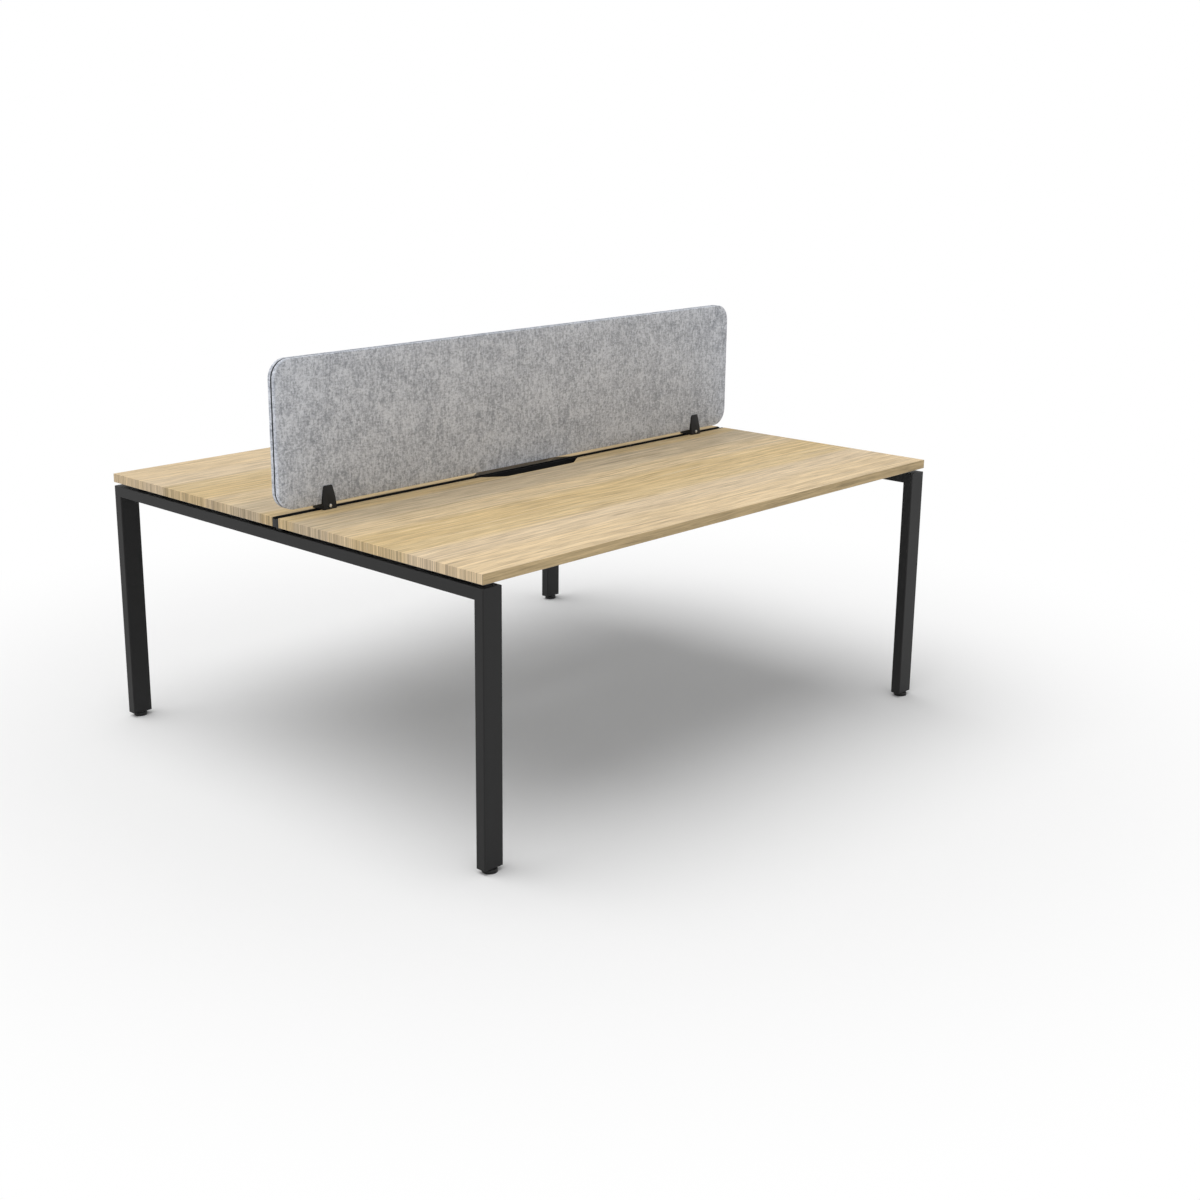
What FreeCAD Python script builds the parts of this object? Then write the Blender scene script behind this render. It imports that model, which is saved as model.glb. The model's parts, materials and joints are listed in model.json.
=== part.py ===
import FreeCAD
import Part
import Sketcher
import math
import os
from types import SimpleNamespace

# Back-to-back workstation, in millimetres.
# +X runs along the desk, -Y is the near side, +Z is up; the origin is on the floor at the centre.

SIZES = [
    # Worktops
    ("desk_length", 1800.0),
    ("top_depth", 750.0),
    ("top_gap", 25.0),
    ("desk_height", 730.0),
    ("top_thickness", 25.0),
    ("edging_thickness", 2.0),
    ("edging_round", 1.0),
    # Cable notch in the inner edge of each top
    ("notch_mouth", 400.0),
    ("notch_floor", 274.0),
    ("notch_depth", 44.0),
    ("notch_mouth_round", 15.0),
    ("notch_floor_round", 28.0),
    # Tube of the leg frames
    ("tube_width", 60.0),
    ("tube_depth", 30.0),
    ("tube_wall", 2.0),
    ("tube_round", 3.0),
    ("tube_inner_round", 1.0),
    ("shadow_gap", 10.0),
    # Beams under the tops
    ("beam_width", 25.0),
    ("beam_height", 40.0),
    ("beam_wall", 2.0),
    ("beam_round", 2.5),
    ("beam_inner_round", 0.8),
    ("outer_beam_inset", 162.5),
    ("inner_beam_inset", 152.5),
    ("end_plate_thickness", 5.0),
    ("end_plate_width", 85.0),
    # Bolts of the beams
    ("beam_bolt_spread", 60.0),
    ("beam_bolt_diameter", 6.0),
    ("beam_bolt_head", 10.0),
    ("beam_bolt_head_height", 4.0),
    ("weld_nut_height", 5.0),
    ("bolt_end", 2.0),
    # Screws that hold the tops down
    ("rail_screw_outer_inset", 100.0),
    ("rail_screw_inner_inset", 90.0),
    ("beam_screw_inset", 220.0),
    ("top_screw_diameter", 6.0),
    ("top_screw_head", 12.0),
    ("top_screw_head_height", 3.5),
    ("insert_diameter", 10.0),
    ("insert_length", 12.0),
    ("screw_tip_gap", 1.0),
    ("spacer_diameter", 24.0),
    # Channel in the gap between the tops
    ("channel_side_gap", 1.0),
    ("channel_recess", 0.2),
    ("channel_wall", 2.0),
    ("channel_slot", 9.0),
    ("cap_thickness", 3.0),
    ("cap_drop", 3.8),
    ("cap_plug_length", 12.0),
    ("support_block_length", 40.0),
    # Plates that join the two tops and carry the channel
    ("joining_plate_inset", 420.0),
    ("joining_plate_length", 120.0),
    ("joining_plate_width", 140.0),
    ("joining_plate_thickness", 3.0),
    ("plate_screw_spread_x", 90.0),
    ("plate_screw_spread_y", 105.0),
    ("plate_screw_diameter", 5.0),
    ("plate_screw_head", 9.0),
    ("plate_screw_head_height", 3.0),
    ("plate_screw_bite", 14.0),
    # Screen
    ("screen_end_gap", 3.0),
    ("screen_lift", 15.0),
    ("screen_height", 385.0),
    ("screen_round", 50.0),
    ("felt_thickness", 11.0),
    ("felt_edge_round", 1.5),
    ("core_thickness", 6.0),
    ("core_inset", 1.0),
    # Screen brackets
    ("bracket_inset", 156.0),
    ("bracket_width", 42.0),
    ("bracket_top_width", 29.0),
    ("bracket_height", 62.0),
    ("bracket_shoulder", 20.0),
    ("bracket_shoulder_round", 100.0),
    ("bracket_foot_depth", 9.5),
    ("bracket_tip_depth", 1.5),
    ("bracket_round", 5.0),
    ("base_plate_thickness", 4.0),
    ("pinch_bolt_rise", 5.5),
    ("pinch_bolt_diameter", 5.0),
    ("pinch_bolt_head", 8.5),
    ("pinch_bolt_head_height", 4.0),
    ("pinch_socket", 3.0),
    ("pinch_socket_depth", 1.8),
    ("pinch_head_inset", 2.0),
    ("pinch_nut_inset", 4.5),
    ("pinch_nut_flats", 8.0),
    ("pinch_nut_height", 4.0),
    ("base_screw_spread", 22.0),
    ("base_screw_diameter", 5.0),
    ("base_screw_head", 8.5),
    ("base_screw_head_height", 4.0),
    ("sliding_nut_length", 40.0),
    ("sliding_nut_height", 5.0),
    ("sliding_nut_side_gap", 0.5),
    # Levelling feet
    ("foot_pad_diameter", 38.0),
    ("foot_pad_height", 9.0),
    ("foot_pad_floor", 3.0),
    ("foot_pad_round", 2.5),
    ("swivel_disc_diameter", 14.0),
    ("swivel_disc_height", 3.0),
    ("stud_diameter", 8.0),
    ("stud_reach", 50.0),
    ("stud_hex_flats", 17.0),
    ("stud_hex_height", 2.4),
    ("leg_plug_height", 20.0),
    ("foot_nut_flats", 13.0),
    ("foot_nut_height", 6.5),
    # Clearances
    ("hole_clearance", 0.6),
    ("thread_clearance", 0.1),
    ("insert_clearance", 0.1),
    ("plug_clearance", 0.2),
    ("swivel_clearance", 0.3),
    ("head_clearance", 0.5),
]

doc = FreeCAD.newDocument("BackToBackWorkstation")
sheet = doc.addObject("Spreadsheet::Sheet", "Sizes")
for row, (alias, number) in enumerate(SIZES, start=1):
    sheet.set(f"A{row}", alias.replace("_", " "))
    sheet.set(f"B{row}", str(number))
    sheet.setAlias(f"B{row}", alias)
doc.recompute()


class Length:
    """A size on the sheet, or a sum worked out from sizes, kept as an expression."""

    def __init__(self, text):
        self.text = str(text)

    @property
    def value(self):
        return float(sheet.evalExpression(self.text))

    def join(self, sign, other):
        text = other.text if isinstance(other, Length) else str(other)
        return Length(f"({self.text} {sign} {text})")

    def __add__(self, other):
        return self.join("+", other)

    def __sub__(self, other):
        return self.join("-", other)

    def __mul__(self, other):
        return self.join("*", other)

    def __truediv__(self, other):
        return self.join("/", other)

    def __neg__(self):
        return Length(f"(0 - {self.text})")

    __radd__ = __add__
    __rmul__ = __mul__


def root(length):
    return Length(f"sqrt({length.text})")


def smaller(one, other):
    return Length(f"min({one.text}; {other.text})")


def larger(one, other):
    return Length(f"max({one.text}; {other.text})")


s = SimpleNamespace(**{alias: Length(f"Sizes.{alias}") for alias, number in SIZES})
ZERO = Length("0")
SIDES = (("left", -1), ("right", 1))
ROWS = (("front", -1), ("rear", 1))
# The largest share of a wall that a rounded edge may take
ROUND_SHARE = 0.6
# A face whose height differs by less than this lies level
FLAT = 0.001

# Heights and places that several pieces share
under_top = s.desk_height - s.top_thickness
rail_top = under_top - s.shadow_gap
rail_bottom = rail_top - s.tube_depth
rail_middle = rail_bottom + s.tube_depth / 2
leg_bottom = s.foot_pad_height + s.stud_hex_height + 2 * s.swivel_clearance
half_length = s.desk_length / 2
half_gap = s.top_gap / 2
half_depth = s.top_depth + half_gap
leg_x = half_length - s.tube_width / 2
leg_y = half_depth - s.tube_depth / 2
plug_top = leg_bottom + s.leg_plug_height
overcut = s.tube_depth
rail_inner_face = half_length - s.tube_width
beam_end = rail_inner_face - s.end_plate_thickness
beam_lines = {"outer": half_depth - s.outer_beam_inset, "inner": half_gap + s.inner_beam_inset}
rail_screw_lines = (half_depth - s.rail_screw_outer_inset, half_gap + s.rail_screw_inner_inset)
beam_screw_x = half_length - s.beam_screw_inset
joining_x = half_length - s.joining_plate_inset
channel_width = s.top_gap - 2 * s.channel_side_gap
channel_height = s.top_thickness - s.channel_recess
channel_inside = channel_width - 2 * s.channel_wall
channel_floor_top = under_top + s.channel_wall
channel_lip_bottom = under_top + channel_height - s.channel_wall
screen_half = s.core_thickness / 2 + s.felt_thickness
screen_length = s.desk_length - 2 * s.screen_end_gap
screen_bottom = s.desk_height + s.screen_lift
bracket_x = screen_length / 2 - s.bracket_inset
cheek_bottom = s.desk_height + s.base_plate_thickness
cheek_height = s.bracket_height - s.base_plate_thickness
pinch_z = cheek_bottom + s.pinch_bolt_rise
head_seat_depth = s.bracket_foot_depth - s.pinch_head_inset
nut_seat_depth = s.bracket_foot_depth - s.pinch_nut_inset
head_seat_y = screen_half + head_seat_depth
nut_seat_y = screen_half + nut_seat_depth
top_screw_hole = s.top_screw_diameter + s.hole_clearance
beam_bolt_hole = s.beam_bolt_diameter + s.hole_clearance
plate_screw_hole = s.plate_screw_diameter + s.hole_clearance
pinch_bolt_hole = s.pinch_bolt_diameter + s.hole_clearance
base_screw_hole = s.base_screw_diameter + s.hole_clearance
pilot_depth = s.plate_screw_bite + s.screw_tip_gap

nodes = []


def node(item, name):
    item.Label = name
    nodes.append(item)
    return item


def signed(sign, length):
    return length if sign > 0 else -length


def bind(item, **lengths):
    for name, length in lengths.items():
        item.setExpression(name, length.text)


# A primitive stands up along Z; these turns lay it along another direction.
TURNS = {
    "+Z": FreeCAD.Rotation(FreeCAD.Vector(1, 0, 0), 0),
    "-Z": FreeCAD.Rotation(FreeCAD.Vector(1, 0, 0), 180),
    "+X": FreeCAD.Rotation(FreeCAD.Vector(0, 1, 0), 90),
    "-X": FreeCAD.Rotation(FreeCAD.Vector(0, 1, 0), -90),
    "+Y": FreeCAD.Rotation(FreeCAD.Vector(1, 0, 0), -90),
    "-Y": FreeCAD.Rotation(FreeCAD.Vector(1, 0, 0), 90),
}
HALF_TURN = FreeCAD.Rotation(FreeCAD.Vector(0, 0, 1), 180)


def place(item, at, turn=None):
    item.Placement = FreeCAD.Placement(FreeCAD.Vector(), turn or FreeCAD.Rotation())
    for letter, length in zip("xyz", at):
        item.setExpression(f"Placement.Base.{letter}", length.text)
    return item


def box(name, low, size):
    item = doc.addObject("Part::Box", name)
    bind(item, Length=size[0], Width=size[1], Height=size[2])
    return place(item, low)


def centred_box(name, middle, low_z, size):
    low = (middle[0] - size[0] / 2, middle[1] - size[1] / 2, low_z)
    return box(name, low, size)


def cylinder(name, at, diameter, height, along="+Z"):
    item = doc.addObject("Part::Cylinder", name)
    bind(item, Radius=diameter / 2, Height=height)
    return place(item, at, TURNS[along])


def hexagon(name, at, flats, height, along="+Z"):
    item = doc.addObject("Part::Prism", name)
    item.Polygon = 6
    bind(item, Circumradius=flats / math.sqrt(3), Height=height)
    return place(item, at, TURNS[along])


def fuse(name, items):
    item = doc.addObject("Part::MultiFuse", name)
    item.Shapes = items
    return item


def cut(name, base, tools):
    item = doc.addObject("Part::Cut", name)
    item.Base = base
    item.Tool = tools[0] if len(tools) == 1 else fuse(f"{name}_tools", tools)
    return item


def group(name, items):
    item = doc.addObject("Part::Compound", name)
    item.Links = items
    return node(item, name)


def headed_screw(name, at, along, head, head_height, shank, shank_length, hex_head=False):
    """A screw whose head sits behind the point at, and whose shank runs on along the direction."""
    back = {"+": "-", "-": "+"}[along[0]] + along[1]
    shape = hexagon if hex_head else cylinder
    head_item = shape(f"{name}_head", at, head, head_height, back)
    shank_item = cylinder(f"{name}_shank", at, shank, shank_length, along)
    return fuse(name, [head_item, shank_item])


def hex_nut(name, at, along, flats, height, bore):
    blank = hexagon(f"{name}_blank", at, flats, height, along)
    hole = cylinder(f"{name}_bore", at, bore, height, along)
    return cut(name, blank, [hole])


def new_body(name, at, turn=None):
    body = doc.addObject("PartDesign::Body", name)
    return place(node(body, name), at, turn)


def new_sketch(body, name, role):
    sketch = body.newObject("Sketcher::SketchObject", f"{body.Name}_{name}")
    plane = next(item for item in body.Origin.OriginFeatures if item.Role == role)
    sketch.AttachmentSupport = [(plane, "")]
    sketch.MapMode = "FlatFace"
    return sketch


def drive(sketch, constraint, length):
    index = sketch.addConstraint(constraint)
    sketch.setExpression(f"Constraints[{index}]", length.text)


def pin_point(sketch, geometry, point, x, y):
    drive(sketch, Sketcher.Constraint("DistanceX", geometry, point, x.value), x)
    drive(sketch, Sketcher.Constraint("DistanceY", geometry, point, y.value), y)


def corner_arc(before, corner, after, radius):
    """Tangent points and arc that round one corner, and whether the outline turns left there."""
    come = (before - corner).normalize()
    leave = (after - corner).normalize()
    half_angle = come.getAngle(leave) / 2
    reach = radius / math.tan(half_angle)
    middle = corner + (come + leave).normalize() * (radius / math.sin(half_angle))
    first = corner + come * reach
    last = corner + leave * reach
    turns_left = come.cross(leave).z < 0
    start, end = (first, last) if turns_left else (last, first)
    angles = [math.atan2(p.y - middle.y, p.x - middle.x) for p in (start, end)]
    if angles[1] < angles[0]:
        angles[1] += 2 * math.pi
    circle = Part.Circle(middle, FreeCAD.Vector(0, 0, 1), radius)
    return first, last, Part.ArcOfCircle(circle, *angles), turns_left


def outline(sketch, corners):
    """Closed outline through corners (x, y), or (x, y, radius) where the corner is rounded."""
    count = len(corners)
    points = [FreeCAD.Vector(c[0].value, c[1].value, 0) for c in corners]
    arrive = list(points)
    depart = list(points)
    arcs = {}
    for i, corner in enumerate(corners):
        if len(corner) == 3:
            after = points[(i + 1) % count]
            arrive[i], depart[i], *arcs[i] = corner_arc(points[i - 1], points[i], after, corner[2].value)
    lines = []
    for i in range(count):
        segment = Part.LineSegment(depart[i], arrive[(i + 1) % count])
        lines.append(sketch.addGeometry(segment, False))
    for i, corner in enumerate(corners):
        before, after = lines[i - 1], lines[i]
        if i not in arcs:
            sketch.addConstraint(Sketcher.Constraint("Coincident", before, 2, after, 1))
            pin_point(sketch, after, 1, corner[0], corner[1])
            continue
        arc, left = arcs[i]
        curve = sketch.addGeometry(arc, False)
        first, last = (1, 2) if left else (2, 1)
        sketch.addConstraint(Sketcher.Constraint("Tangent", before, 2, curve, first))
        sketch.addConstraint(Sketcher.Constraint("Tangent", after, 1, curve, last))
        drive(sketch, Sketcher.Constraint("Radius", curve, corner[2].value), corner[2])
        vertex = sketch.addGeometry(Part.Point(points[i]), True)
        sketch.addConstraint(Sketcher.Constraint("PointOnObject", vertex, 1, before))
        sketch.addConstraint(Sketcher.Constraint("PointOnObject", vertex, 1, after))
        pin_point(sketch, vertex, 1, corner[0], corner[1])


def rectangle(sketch, width, height, radius=None):
    signs = ((-1, -1), (1, -1), (1, 1), (-1, 1))
    rounding = () if radius is None else (radius,)
    outline(sketch, [(signed(a, width / 2), signed(b, height / 2)) + rounding for a, b in signs])


def circle(sketch, x, y, diameter):
    centre = FreeCAD.Vector(x.value, y.value, 0)
    shape = Part.Circle(centre, FreeCAD.Vector(0, 0, 1), diameter.value / 2)
    index = sketch.addGeometry(shape, False)
    drive(sketch, Sketcher.Constraint("Diameter", index, diameter.value), diameter)
    pin_point(sketch, index, 3, x, y)


def pad(body, sketch, length, both_ways=False):
    feature = body.newObject("PartDesign::Pad", f"{sketch.Name}_pad")
    feature.Profile = sketch
    feature.SideType = "Symmetric" if both_ways else "One side"
    bind(feature, Length=length)
    doc.recompute()
    return feature


def pocket(body, sketch, depth=None, both_ways=False, forward=False):
    """Cut a sketch away: to a depth, or right through when none is given."""
    before = body.Shape.Volume
    feature = body.newObject("PartDesign::Pocket", f"{sketch.Name}_pocket")
    feature.Profile = sketch
    feature.SideType = "Symmetric" if both_ways else "One side"
    feature.Reversed = forward
    if depth is None:
        feature.Type = "ThroughAll"
    else:
        feature.Type = "Length"
        bind(feature, Length=depth)
    doc.recompute()
    if not body.Shape.Volume < before:
        raise RuntimeError(f"{feature.Name} cuts nothing")
    return feature


def round_edges(body, feature, wires, radius):
    """Round the edges of some wires of a feature's shape."""
    hashes = {edge.hashCode() for wire in wires for edge in wire.Edges}
    names = [f"Edge{n}" for n, edge in enumerate(feature.Shape.Edges, start=1)
             if edge.hashCode() in hashes]
    fillet = body.newObject("PartDesign::Fillet", f"{body.Name}_round")
    fillet.Base = (feature, names)
    bind(fillet, Radius=radius)
    doc.recompute()
    return fillet


def tube_section(sketch, width, height, wall, outer_round, inner_round):
    rectangle(sketch, width, height, outer_round)
    rectangle(sketch, width - 2 * wall, height - 2 * wall, inner_round)


# Legs: upright tubes, mitred at the top against the cross rail
def make_leg(name, side, row):
    turn = HALF_TURN if row > 0 else None
    body = new_body(name, (signed(side, leg_x), signed(row, leg_y), leg_bottom), turn)
    height = rail_top - leg_bottom
    section = new_sketch(body, "section", "XY_Plane")
    tube_section(section, s.tube_width, s.tube_depth, s.tube_wall, s.tube_round, s.tube_inner_round)
    pad(body, section, height)
    mitre = new_sketch(body, "mitre", "YZ_Plane")
    reach = s.tube_depth / 2 + overcut
    outline(mitre, [
        (-reach, height + overcut),
        (reach, height - s.tube_depth - overcut),
        (reach, height + overcut),
    ])
    pocket(body, mitre, both_ways=True)


# Cross rails: level tubes between a front and a rear leg, mitred at both ends
def make_cross_rail(name, side):
    body = new_body(name, (signed(side, leg_x), ZERO, rail_middle))
    section = new_sketch(body, "section", "XZ_Plane")
    tube_section(section, s.tube_width, s.tube_depth, s.tube_wall, s.tube_round, s.tube_inner_round)
    pad(body, section, 2 * half_depth, both_ways=True)
    mitre = new_sketch(body, "mitre", "YZ_Plane")
    near = half_depth - s.tube_depth - overcut
    far = half_depth + overcut
    reach = s.tube_depth / 2 + overcut
    for end in (-1, 1):
        outline(mitre, [
            (signed(end, far), reach),
            (signed(end, far), -reach),
            (signed(end, near), -reach),
        ])
    pocket(body, mitre, both_ways=True)
    screw_holes = new_sketch(body, "screw_holes", "XY_Plane")
    bolt_holes = new_sketch(body, "bolt_holes", "YZ_Plane")
    for row_name, row in ROWS:
        for line in rail_screw_lines:
            circle(screw_holes, ZERO, signed(row, line), top_screw_hole)
        for line in beam_lines.values():
            for hand in (-1, 1):
                y = signed(row, line) + signed(hand, s.beam_bolt_spread / 2)
                circle(bolt_holes, y, ZERO, beam_bolt_hole)
    pocket(body, screw_holes, both_ways=True)
    pocket(body, bolt_holes, forward=side < 0)


# Beams: tubes along the desk, from one cross rail to the other
def make_beam(name, y):
    body = new_body(name, (ZERO, y, under_top - s.beam_height / 2))
    section = new_sketch(body, "section", "YZ_Plane")
    tube_section(section, s.beam_width, s.beam_height, s.beam_wall, s.beam_round, s.beam_inner_round)
    pad(body, section, 2 * beam_end, both_ways=True)
    holes = new_sketch(body, "screw_holes", "XY_Plane")
    for hand in (-1, 1):
        circle(holes, signed(hand, beam_screw_x), ZERO, top_screw_hole)
    pocket(body, holes, both_ways=True)


# Plates on the beams' ends, with the bolts and the nuts that hold them to the rails
def make_beam_joints():
    plates = []
    bolts = []
    nuts = []
    for side_name, side in SIDES:
        inward = "-X" if side > 0 else "+X"
        outward = "+X" if side > 0 else "-X"
        for row_name, row in ROWS:
            for line_name, line in beam_lines.items():
                name = f"{side_name}_{row_name}_{line_name}"
                y = signed(row, line)
                middle = (signed(side, rail_inner_face - s.end_plate_thickness / 2), y)
                size = (s.end_plate_thickness, s.end_plate_width, s.tube_depth)
                blank = centred_box(f"{name}_plate_blank", middle, rail_bottom, size)
                holes = []
                for hand_name, hand in (("a", -1), ("b", 1)):
                    bolt_y = y + signed(hand, s.beam_bolt_spread / 2)
                    at_plate = (signed(side, beam_end), bolt_y, rail_middle)
                    at_rail = (signed(side, rail_inner_face), bolt_y, rail_middle)
                    at_nut = (signed(side, rail_inner_face + s.tube_wall), bolt_y, rail_middle)
                    label = f"{name}_{hand_name}"
                    holes.append(cylinder(f"{label}_hole", at_rail, beam_bolt_hole,
                                          s.end_plate_thickness, inward))
                    reach = s.end_plate_thickness + s.tube_wall + s.weld_nut_height + s.bolt_end
                    bolts.append(headed_screw(f"{label}_bolt", at_plate, outward, s.beam_bolt_head,
                                              s.beam_bolt_head_height, s.beam_bolt_diameter, reach,
                                              hex_head=True))
                    nuts.append(hex_nut(f"{label}_nut", at_nut, outward, s.beam_bolt_head,
                                        s.weld_nut_height,
                                        s.beam_bolt_diameter + 2 * s.thread_clearance))
                plates.append(cut(f"{name}_plate", blank, holes))
    group("beam_end_plates", plates)
    group("beam_bolts", bolts)
    group("beam_weld_nuts", nuts)


# Spacers, screws and threaded inserts that hold the tops on the rails and beams
def make_top_fixings():
    spacers = []
    screws = []
    inserts = []

    def fixing(name, x, y, seat):
        reach = under_top - seat + s.insert_length - s.screw_tip_gap
        screws.append(headed_screw(f"{name}_screw", (x, y, seat), "+Z", s.top_screw_head,
                                   s.top_screw_head_height, s.top_screw_diameter, reach))
        at = (x, y, under_top)
        blank = cylinder(f"{name}_insert_blank", at, s.insert_diameter, s.insert_length)
        bore = cylinder(f"{name}_insert_bore", at,
                        s.top_screw_diameter + 2 * s.thread_clearance, s.insert_length)
        inserts.append(cut(f"{name}_insert", blank, [bore]))

    for side_name, side in SIDES:
        for row_name, row in ROWS:
            for index, line in enumerate(rail_screw_lines):
                name = f"{side_name}_{row_name}_rail_{index}"
                x, y = signed(side, leg_x), signed(row, line)
                fixing(name, x, y, rail_bottom)
                blank = cylinder(f"{name}_spacer_blank", (x, y, rail_top),
                                 s.spacer_diameter, s.shadow_gap)
                bore = cylinder(f"{name}_spacer_bore", (x, y, rail_top), top_screw_hole, s.shadow_gap)
                spacers.append(cut(f"{name}_spacer", blank, [bore]))
            for line_name, line in beam_lines.items():
                name = f"{side_name}_{row_name}_beam_{line_name}"
                fixing(name, signed(side, beam_screw_x), signed(row, line), under_top - s.beam_height)
    group("top_spacers", spacers)
    group("top_fixing_screws", screws)
    group("top_insert_nuts", inserts)


# Worktops: a board with an edge band all round, and a notch for cables in the inner edge
def top_outline(inset):
    """Corners of the near top, moved inwards by an inset that also follows the slanted notch sides."""
    run = (s.notch_mouth - s.notch_floor) / 2
    slant = root(run * run + s.notch_depth * s.notch_depth)
    shift = inset * (slant - run) / s.notch_depth
    end_x = half_length - inset
    mouth_x = s.notch_mouth / 2 + shift
    floor_x = s.notch_floor / 2 + shift
    near_y = -(half_depth - inset)
    gap_y = -(half_gap + inset)
    floor_y = gap_y - s.notch_depth
    mouth_round = s.notch_mouth_round - inset
    floor_round = s.notch_floor_round + inset
    return [
        (-end_x, near_y),
        (end_x, near_y),
        (end_x, gap_y),
        (mouth_x, gap_y, mouth_round),
        (floor_x, floor_y, floor_round),
        (-floor_x, floor_y, floor_round),
        (-mouth_x, gap_y, mouth_round),
        (-end_x, gap_y),
    ]


def make_board(name, row):
    body = new_body(name, (ZERO, ZERO, under_top), HALF_TURN if row > 0 else None)
    shape = new_sketch(body, "outline", "XY_Plane")
    outline(shape, top_outline(s.edging_thickness))
    pad(body, shape, s.top_thickness)
    insert_holes = new_sketch(body, "insert_holes", "XY_Plane")
    pilot_holes = new_sketch(body, "pilot_holes", "XY_Plane")
    bore = s.insert_diameter + 2 * s.insert_clearance
    for side_name, side in SIDES:
        for line in rail_screw_lines:
            circle(insert_holes, signed(side, leg_x), -line, bore)
        for line in beam_lines.values():
            circle(insert_holes, signed(side, beam_screw_x), -line, bore)
        for hand in (-1, 1):
            x = signed(side, joining_x) + signed(hand, s.plate_screw_spread_x / 2)
            pilot = s.plate_screw_diameter + 2 * s.thread_clearance
            circle(pilot_holes, x, -(s.plate_screw_spread_y / 2), pilot)
    pocket(body, insert_holes, s.insert_length, forward=True)
    pocket(body, pilot_holes, pilot_depth, forward=True)


def make_edging(name, row):
    body = new_body(name, (ZERO, ZERO, under_top), HALF_TURN if row > 0 else None)
    band = new_sketch(body, "band", "XY_Plane")
    outline(band, top_outline(ZERO))
    outline(band, top_outline(s.edging_thickness))
    blank = pad(body, band, s.top_thickness)
    level = [face for face in blank.Shape.Faces if face.BoundBox.ZLength < FLAT]
    radius = smaller(s.edging_round, s.edging_thickness * ROUND_SHARE)
    round_edges(body, blank, [face.OuterWire for face in level], radius)


# Plates under the tops across the gap, with their screws and the bolts that hold the channel
def make_joining_plates():
    plates = []
    screws = []
    bolts = []
    nuts = []
    plate_bottom = under_top - s.joining_plate_thickness
    for side_name, side in SIDES:
        x = signed(side, joining_x)
        size = (s.joining_plate_length, s.joining_plate_width, s.joining_plate_thickness)
        blank = centred_box(f"{side_name}_joining_blank", (x, ZERO), plate_bottom, size)
        holes = [cylinder(f"{side_name}_joining_bolt_hole", (x, ZERO, plate_bottom),
                          beam_bolt_hole, s.joining_plate_thickness)]
        for hand_x in (-1, 1):
            for row_name, row in ROWS:
                name = f"{side_name}_joining_{row_name}_{'a' if hand_x < 0 else 'b'}"
                at = (x + signed(hand_x, s.plate_screw_spread_x / 2),
                      signed(row, s.plate_screw_spread_y / 2), plate_bottom)
                holes.append(cylinder(f"{name}_hole", at, plate_screw_hole, s.joining_plate_thickness))
                reach = s.joining_plate_thickness + s.plate_screw_bite
                screws.append(headed_screw(f"{name}_screw", at, "+Z", s.plate_screw_head,
                                           s.plate_screw_head_height, s.plate_screw_diameter, reach))
        plates.append(cut(f"{side_name}_joining_plate", blank, holes))
        reach = s.joining_plate_thickness + s.channel_wall + s.weld_nut_height + s.bolt_end
        bolts.append(headed_screw(f"{side_name}_channel_bolt", (x, ZERO, plate_bottom), "+Z",
                                  s.beam_bolt_head, s.beam_bolt_head_height, s.beam_bolt_diameter,
                                  reach, hex_head=True))
        nuts.append(hex_nut(f"{side_name}_channel_nut", (x, ZERO, channel_floor_top), "+Z",
                            s.beam_bolt_head, s.weld_nut_height,
                            s.beam_bolt_diameter + 2 * s.thread_clearance))
    group("joining_plates", plates)
    group("joining_plate_screws", screws)
    group("channel_bolts", bolts)
    group("channel_nuts", nuts)


# Channel in the gap, of flat strips: a floor, two walls, and two lips that leave a slot along the top
def make_channel():
    length = s.desk_length - 2 * s.cap_thickness
    blank = centred_box("channel_floor_blank", (ZERO, ZERO), under_top,
                        (length, channel_width, s.channel_wall))
    holes = [cylinder(f"{side_name}_channel_hole", (signed(side, joining_x), ZERO, under_top),
                      beam_bolt_hole, s.channel_wall) for side_name, side in SIDES]
    node(cut("channel_floor", blank, holes), "channel_floor")
    wall_size = (length, s.channel_wall, channel_height - s.channel_wall)
    wall_y = (channel_width - s.channel_wall) / 2
    lip_size = (length, (channel_inside - s.channel_slot) / 2, s.channel_wall)
    lip_y = (channel_inside + s.channel_slot) / 4
    for row_name, row in ROWS:
        wall_name = f"{row_name}_channel_wall"
        node(centred_box(wall_name, (ZERO, signed(row, wall_y)), channel_floor_top, wall_size), wall_name)
        lip_name = f"{row_name}_channel_lip"
        node(centred_box(lip_name, (ZERO, signed(row, lip_y)), channel_lip_bottom, lip_size), lip_name)


def make_channel_cap(name, side):
    plate_height = channel_height - s.cap_drop
    plug_width = channel_inside - 2 * s.plug_clearance
    plug_low = channel_floor_top + s.plug_clearance
    plug_high = smaller(under_top + plate_height, channel_lip_bottom) - s.plug_clearance
    plate_x = signed(side, half_length - s.cap_thickness / 2)
    plug_x = signed(side, half_length - s.cap_thickness - s.cap_plug_length / 2)
    plate = centred_box(f"{name}_plate", (plate_x, ZERO), under_top,
                        (s.cap_thickness, channel_width, plate_height))
    plug = centred_box(f"{name}_plug", (plug_x, ZERO), plug_low,
                       (s.cap_plug_length, plug_width, plug_high - plug_low))
    node(fuse(name, [plate, plug]), name)


def make_support_blocks():
    blocks = []
    for side_name, side in SIDES:
        size = (s.support_block_length, channel_width, s.shadow_gap)
        blocks.append(centred_box(f"{side_name}_support_block", (signed(side, leg_x), ZERO),
                                  rail_top, size))
    group("channel_support_blocks", blocks)


# Screen: two felt panels on a thin core that is set back from their edges
def upright_corners(inset):
    half = screen_length / 2 - inset
    high = s.screen_height - inset
    radius = s.screen_round - inset
    return [(-half, inset, radius), (half, inset, radius), (half, high, radius), (-half, high, radius)]


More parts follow.
